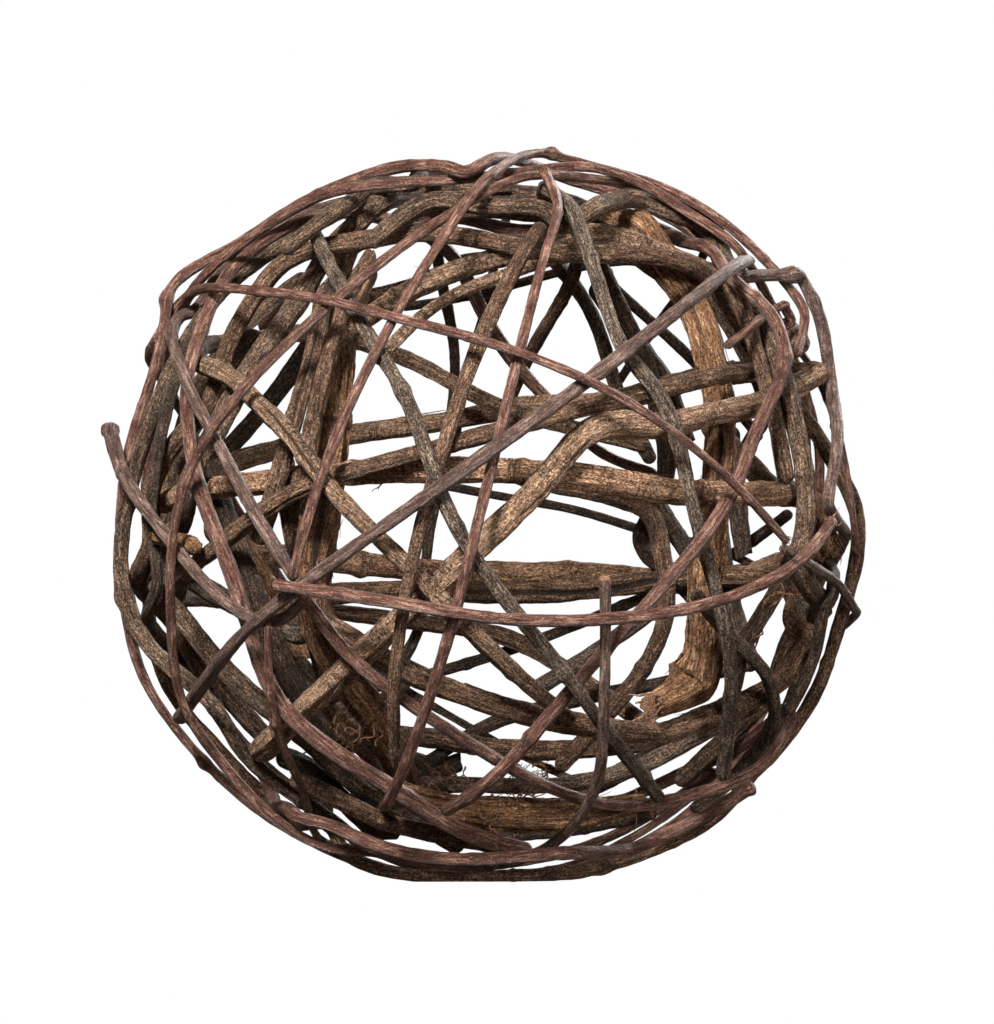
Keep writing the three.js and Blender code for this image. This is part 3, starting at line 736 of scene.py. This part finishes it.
def bark_colour(tree, look, marks):
    """Colour socket: dark to light by grit and streaks, darker in the bark's own crack lines and with painted
    shade in the rib valleys and splits, pale on bare wood.
    """
    dark, _, light = look["colours"]
    coarse = 1 - look["grit"]
    tone = weighted(tree, (marks["Grit"], look["grit"]), (marks["Streak"], 0.65 * coarse),
                    (marks["Mottle"], 0.35 * coarse))
    colour = graded(tree, ramp(tree, tone, 0.12, 0.92), look["colours"])
    colour = blended(tree, maths(tree, "MULTIPLY", marks["Flake"], look["flake"]), colour, light)
    # Painted shade: the colour is darkened towards the darkest one in the valleys between the ribs and in the
    # splits; the fissure and crease marks are the bark's own dark crack lines.
    painted_valley_shade = ramp(tree, field(tree, "rib"), -1.2, 0.0, 1.0, 0.0)
    crack_and_valley_shade = largest(tree, (marks["Fissure"], 0.75 * look["fissure_and_valley_shade"]), (painted_valley_shade, 0.9 * look["fissure_and_valley_shade"]),
                     (marks["Crease"], look["crease"]))
    colour = blended(tree, crack_and_valley_shade, colour, dark)
    colour = blended(tree, maths(tree, "MULTIPLY", field(tree, "knot"), 0.55), colour, dark)
    # Partly painted highlight: pale specks of bare inner bark on every side of the twig, which also stand in
    # for small glints.
    colour = blended(tree, maths(tree, "MULTIPLY", marks["Speck_and_glint"], look["speck_and_glint"]), colour, FLECK_AND_GLINT)
    shade = tree.nodes.new("ShaderNodeHueSaturation")
    tree.links.new(maths(tree, "ADD", field(tree, "shade"), 1.0), shade.inputs["Value"])
    tree.links.new(colour, shade.inputs["Color"])
    colour = blended(tree, field(tree, "warm"), shade.outputs["Color"], WARM, "MULTIPLY")
    wood = blended(tree, ramp(tree, marks["Grit"], 0.3, 1.0), PITH, CUT_WOOD)
    return blended(tree, field(tree, "cut"), colour, wood)


def bark_normal(tree, look, marks):
    """Normal socket: raised grit, streaks and pores, sunken crack lines, flakes and creases."""
    height = weighted(
        tree,
        (marks["Grit"], 1.2 * look["grit"]),
        (marks["Streak"], 0.8),
        (marks["Speck_and_glint"], 0.6 * look["speck_and_glint"]),
        (marks["Fissure"], -look["fissure_and_valley_shade"]),
        (marks["Flake"], -look["flake"]),
        (marks["Crease"], -1.5 * look["crease"]),
    )
    bump = tree.nodes.new("ShaderNodeBump")
    bump.inputs["Distance"].default_value = BUMP_DEPTH
    tree.links.new(height, bump.inputs["Height"])
    return bump.outputs["Normal"]


def bark_material(bark, grain_group):
    """Material of one bark, with the shared grain laid in each twig's straightened space."""
    look = BARKS[bark]
    material = bpy.data.materials.new(bark + " bark")
    material.use_nodes = True
    tree = material.node_tree
    shader = tree.nodes["Principled BSDF"]
    grain = tree.nodes.new("ShaderNodeGroup")
    grain.node_tree = grain_group
    tree.links.new(field(tree, "grain", "Vector"), grain.inputs["Place"])
    marks = grain.outputs
    roughness = ramp(tree, marks["Grit"], 0.0, 1.0, look["gloss"] + 0.12, look["gloss"] - 0.10)
    tree.links.new(bark_colour(tree, look, marks), shader.inputs["Base Color"])
    tree.links.new(roughness, shader.inputs["Roughness"])
    tree.links.new(bark_normal(tree, look, marks), shader.inputs["Normal"])
    shader.inputs["Specular IOR Level"].default_value = 0.75 - 0.55 * look["gloss"]
    return material


# ---------- what grows where ----------
# Ends of the twigs that aren't simply round, left one first.
ENDS = {
    "russet_twig_01": ("round", "cut"),
    "russet_twig_07": ("cut", "cut"),
    "russet_twig_06": ("cut", "nub"),
    "plum_twig_01": ("round", "cut"),
    "plum_twig_02": ("nub", "cut"),
    "plum_twig_04": ("nub", "cut"),
    "plum_twig_06": ("nub", "nub"),
    "russet_twig_10": ("cut", "round"),
    "russet_twig_12": ("cut", "nub"),
    "grey_twig_02": ("cut", "round"),
    "grey_twig_03": ("cut", "cut"),
    "brown_twig_02": ("cut", "cut"),
    "fibre_vine_01": ("round", "cut"),
}

# Knots that stand out: (right, up) in millimetres from the ball's centre in the front view, and height.
KNOTS = {
    "russet_twig_01": ((-61, 61, 0.45), (-33, 57, 0.2)),
    "russet_twig_02": ((-83, 60, 0.5), (-75, -64, 0.5)),
    "russet_twig_04": ((18, 97, 0.6),),
    "russet_twig_06": ((19, 83, 0.35),),
    "russet_twig_08": ((-57, -54, 0.45),),
    "russet_twig_10": ((80, 44, 0.4), (32, -34, 0.35), (-4, -73, 0.3)),
    "grey_twig_01": ((-24, -32, 0.2),),
    "brown_twig_01": ((-24, -62, 0.25),),
    "grey_twig_02": ((-19, 36, 0.5),),
    "grey_twig_03": ((-93, -19, 0.3),),
    "brown_twig_02": ((32, -91, 0.25),),
    "plum_twig_06": ((84, 66, 0.8),),
    "tan_vine_01": ((28, 25, 0.10),),
    "grey_vine_02": ((53, 79, 0.35),),
    "fibre_vine_01": ((57, -42, 0.15),),
}

# Lengthwise splits of the wood: from and to as (right, up), and depth in heights of a bark rib.
SPLITS = {
    "brown_vine_02": (((-8, -19), (54, -18), 4.2),),
    "fibre_vine_01": (((64, 30), (62, 0), 1.6),),
    "fibre_vine_02": (((-43, 20), (-46, -20), 1.6),),
    "tan_vine_03": (((-60, 33), (-40, 8), 1.4),),
    "brown_vine_03": (((-42, 66), (-52, 22), 1.4),),
}

# How much lighter (+) or darker (-) a twig is than others of its bark, and how much warmer.
TINTS = {
    "russet_twig_14": (-0.10, 0.0),
    "tan_vine_01": (0.25, 0.0),
    "tan_vine_02": (0.32, 0.4),
    "brown_vine_01": (0.05, 0.0),
    "brown_vine_02": (0.20, 0.0),
    "grey_twig_03": (0.0, 0.7),
    "grey_twig_05": (0.0, 0.8),
    "grey_vine_01": (0.10, 0.7),
    "grey_vine_02": (0.0, 0.8),
    "grey_vine_03": (-0.05, 0.5),
    "grey_vine_04": (-0.05, 0.8),
    "dark_vine_01": (0.0, 0.6),
    "dark_vine_02": (0.0, 0.6),
    "dark_twig_12": (0.0, 0.5),
    "fibre_vine_01": (0.10, 0.0),
    "fibre_vine_02": (-0.10, 0.0),
}

# Shoots deep in the ball: bark, thickness, front (-1) or back (1), depth below the skin, and places.
SHOOTS = (
    ("dark", 5.0, 1, 6, ((-42, 58), (-52, 43), (-60, 30), (-67, 19), (-76, 8))),
    ("brown", 5.5, -1, 30, ((-54, 16), (-51, 0), (-51, -12), (-47, -30), (-41, -48))),
    ("dark", 6.0, 1, 8, ((-52, -40), (-42, -53), (-30, -64), (-14, -72))),
    ("dark", 5.0, 1, 14, ((-44, -66), (-34, -56), (-22, -44))),
    ("brown", 6.5, 1, 24, ((-46, -48), (-37, -58), (-26, -68))),
    ("dark", 5.5, 1, 4, ((-52, -56), (-38, -61), (-22, -63), (-8, -66))),
    ("brown", 5.5, 1, 5, ((-24, -62), (-6, -68), (14, -64), (34, -64), (58, -55))),
    ("dark", 5.0, 1, 6, ((64, 12), (68, -8), (71, -24), (74, -40))),
    ("grey", 4.4, 1, 24, ((15, -46), (26, -41), (38, -35), (48, -24))),
    ("brown", 5.0, -1, 6, ((-50, -70), (-38, -77), (-24, -83), (-8, -87), (6, -88))),
    ("dark", 4.8, 1, 4, ((-6, 88), (8, 89), (22, 88), (36, 84))),
    ("brown", 4.8, 1, 6, ((-34, 62), (-20, 65), (-4, 68), (10, 74))),
    ("dark", 4.4, 1, 4, ((64, 6), (70, 16), (77, 27), (80, 38))),
    ("dark", 5.0, 1, 8, ((-4, -86), (12, -87), (30, -84), (46, -79))),
    ("fibre", 9.0, -1, 34, ((-72, -2), (-64, -10), (-56, -22), (-50, -36))),
    ("grey", 6.0, -1, 26, ((-50, -30), (-62, -25), (-74, -21), (-84, -16))),
    ("dark", 5.0, -1, 30, ((-64, -22), (-59, -36), (-54, -48))),
    ("fibre", 4.5, -1, 4, ((-80, -8), (-85, -6), (-89, -4))),
    ("dark", 5.5, 1, 10, ((68, 24), (68, 13), (69, 2), (72, -9))),
    ("dark", 5.0, 1, 16, ((44, 10), (49, 1), (55, -9), (61, -19))),
    ("brown", 6.0, 1, 20, ((63, 26), (72, 17), (80, 8))),
    ("dark", 6.0, 1, 8, ((32, 64), (42, 50), (50, 37), (56, 22))),
    ("dark", 5.5, 1, 10, ((28, -74), (42, -69), (55, -62), (66, -53))),
    ("dark", 5.0, -1, 8, ((-56, -62), (-46, -71), (-35, -79), (-24, -84))),
)

# Tufts of root hairs: name, twig, (right, up), how many, length, thickness, spread, heading.
HAIRS = (
    ("hairs_nest_left", "dark_vine_02", (-40, -62), 40, 14, 0.60, 3.2, (0.6, -0.7, 0.5)),
    ("hairs_nest_dark", "fibre_vine_02", (-34, -52), 34, 12, 0.55, 3.4, (-0.5, -0.8, -0.4)),
    ("hairs_low_middle", "grey_vine_03", (12, -70), 26, 11, 0.60, 2.6, (0.5, -0.6, 0.7)),
    ("hairs_low_left", "grey_vine_03", (-9, -71), 14, 9, 0.50, 2.4, (-0.5, -0.5, 0.6)),
    ("hairs_low_shaggy", "fibre_vine_03", (0, -78), 40, 9, 0.55, 4.0, (0.6, -0.8, -0.2)),
    ("hairs_right_curl", "dark_twig_12", (78, -24), 3, 15, 1.00, 0.8, (0.8, -0.5, 0.6)),
    ("hairs_right_drop", "dark_twig_12", (76, -28), 3, 11, 0.90, 0.8, (0.2, -0.6, -1.0)),
    ("hairs_right_low", "fibre_vine_03", (38, -77), 8, 7, 0.50, 1.5, (0.3, -0.6, -0.5)),
    ("hairs_under", "brown_twig_02", (4, -95), 12, 5, 0.45, 2.5, (0.5, -0.7, 0.0)),
    ("hairs_window", "tan_vine_02", (-26, 13), 2, 14, 0.50, 0.4, (-0.25, -0.4, -1.0)),
    ("hairs_far_left", "dark_twig_02", (-90, -30), 3, 12, 0.50, 0.8, (-1.0, -0.2, -0.3)),
    ("hairs_top", "tan_vine_04", (-15, 67), 5, 8, 0.50, 1.2, (-0.5, -0.5, 0.4)),
    ("hairs_knob", "tan_vine_02", (94, -3), 34, 8, 0.60, 2.6, (0.2, -0.7, -0.5)),
)

# Peeling bark: name, twig, from and to as shares of its length, how many, length, thickness, lift.
SHREDS = (
    ("shreds_knob", "tan_vine_02", 0.46, 0.53, 34, 13, 0.60, 2.4),
    ("shreds_root", "fibre_vine_01", 0.05, 0.98, 46, 18, 0.55, 1.2),
    ("shreds_left_vine", "fibre_vine_02", 0.05, 0.95, 46, 18, 0.55, 1.2),
    ("shreds_low_vine", "fibre_vine_03", 0.05, 0.95, 60, 14, 0.55, 2.6),
    ("shreds_back_vine", "brown_vine_02", 0.05, 0.95, 26, 14, 0.50, 0.8, "brown"),
    ("shreds_pale_vine", "tan_vine_01", 0.02, 0.98, 20, 10, 0.45, 0.2, "tan"),
)

# Broken ends that stand in spikes: name, twig, left (0) or right (1) end, bark.
TORN_ENDS = (
    ("spikes_russet_01", "russet_twig_01", 1, "russet"),
    ("spikes_russet_07", "russet_twig_07", 1, "russet"),
    ("spikes_plum_02", "plum_twig_02", 1, "plum"),
    ("spikes_root", "fibre_vine_01", 1, "fibre"),
)


# ---------- the ball ----------
NODES = sorted(frame["nodes"])
BARK_OF = {part["node"]: part["material_slot"] for part in frame["record"]["subparts"]}
RUNS = {node: Run(*rings_of(node)) for node in NODES}
GRAIN = bark_grain()
MATERIALS = {bark: bark_material(bark, GRAIN) for bark in BARKS}
for number, node in enumerate(NODES):
    ends = ENDS.get(node, ("round", "round"))
    tint = TINTS.get(node, (0.0, 0.0))
    marks = KNOTS.get(node, ()), SPLITS.get(node, ())
    skin = twig_skin(node + "_bark", RUNS[node], number, BARK_OF[node], ends, *marks, *tint)
    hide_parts(node)

others = np.concatenate([in_the_way(run) for run in RUNS.values()])
for number, (bark, thick, side, depth, places) in enumerate(SHOOTS, start=1):
    radius = thick / 2 * MM
    line = settled(laid_shoot(side, depth, radius, places), radius, others)
    run = Run(line, np.full(len(line), radius) * np.linspace(*SHOOT_TAPER, len(line)))
    others = np.concatenate([others, in_the_way(run)])
    twig_skin(f"inner_shoot_{number:02d}", run, 100 + number, bark, ("round", "cut"), ())

for tuft in HAIRS:
    root_hairs(*tuft)
for strip in SHREDS:
    shreds(*strip)
for torn in TORN_ENDS:
    splinters(*torn)


# ---------- floor, light and camera ----------
LAMP_TINT = (1.0, 0.975, 0.94)
SHADOW_TINT = (255, 232, 212)
WHITE = (255, 255, 255)
FLOOR_GLOW, WORLD_GLOW = 0.12, 0.22        # how strongly the floor and the world light the ball


def white_floor():
    """Floor that looks plain white and throws only a little light back up."""
    bpy.ops.mesh.primitive_plane_add(size=40, location=(0, 0, -0.0002))
    floor = bpy.context.object
    floor.name = "floor"
    material = bpy.data.materials.new("white floor")
    material.use_nodes = True
    tree = material.node_tree
    tree.nodes.clear()
    seen = tree.nodes.new("ShaderNodeLightPath").outputs["Is Camera Ray"]
    strength = ramp(tree, seen, 0.0, 1.0, FLOOR_GLOW, 1.0)
    glow = tree.nodes.new("ShaderNodeEmission")
    tree.links.new(blended(tree, seen, SHADOW_TINT, WHITE), glow.inputs["Color"])
    tree.links.new(strength, glow.inputs["Strength"])
    tree.links.new(glow.outputs["Emission"], tree.nodes.new("ShaderNodeOutputMaterial").inputs["Surface"])
    floor.data.materials.append(material)


def white_surroundings():
    """World that looks white behind the ball and lights it softly and a little warmly."""
    world = bpy.data.worlds.new("studio")
    world.use_nodes = True
    tree = world.node_tree
    seen = tree.nodes.new("ShaderNodeLightPath").outputs["Is Camera Ray"]
    sky = tree.nodes["Background"]
    tree.links.new(ramp(tree, seen, 0.0, 1.0, WORLD_GLOW, 1.0), sky.inputs["Strength"])
    tree.links.new(blended(tree, seen, SHADOW_TINT, WHITE), sky.inputs["Color"])
    bpy.context.scene.world = world


def turned_to(direction):
    """Turn that points an object's -z along a direction, with its y up."""
    x, y, z = direction / np.linalg.norm(direction)
    return (math.acos(-z), 0.0, math.atan2(y, x) - math.pi / 2)


def soft_light(name, place, size, power):
    """Square softbox aimed at the ball's centre."""
    lamp = bpy.data.lights.new(name, "AREA")
    lamp.shape = "SQUARE"
    lamp.size = size
    lamp.energy = power
    lamp.color = LAMP_TINT
    light = bpy.data.objects.new(name, lamp)
    light.location = place
    light.rotation_euler = turned_to(CENTRE - np.array(place))
    bpy.context.scene.collection.objects.link(light)


def portrait_camera():
    """Long-lens camera straight in front of the ball, a little right of and above its centre."""
    lens = bpy.data.cameras.new("camera")
    lens.lens = 386
    lens.sensor_width = 36
    lens.clip_end = 60
    camera = bpy.data.objects.new("camera", lens)
    camera.location = CENTRE + np.array([3.5 * MM, -3.0, 2.8 * MM])
    camera.rotation_euler = (math.pi / 2, 0, 0)
    bpy.context.scene.collection.objects.link(camera)
    bpy.context.scene.camera = camera


white_floor()
white_surroundings()
soft_light("key", (-0.45, -1.35, 1.15), 0.35, 80)
soft_light("fill", (1.35, -1.4, 0.2), 0.9, 27)
soft_light("back", (0.8, 1.6, 0.9), 0.9, 30)
portrait_camera()
bpy.context.scene.view_settings.view_transform = "Standard"
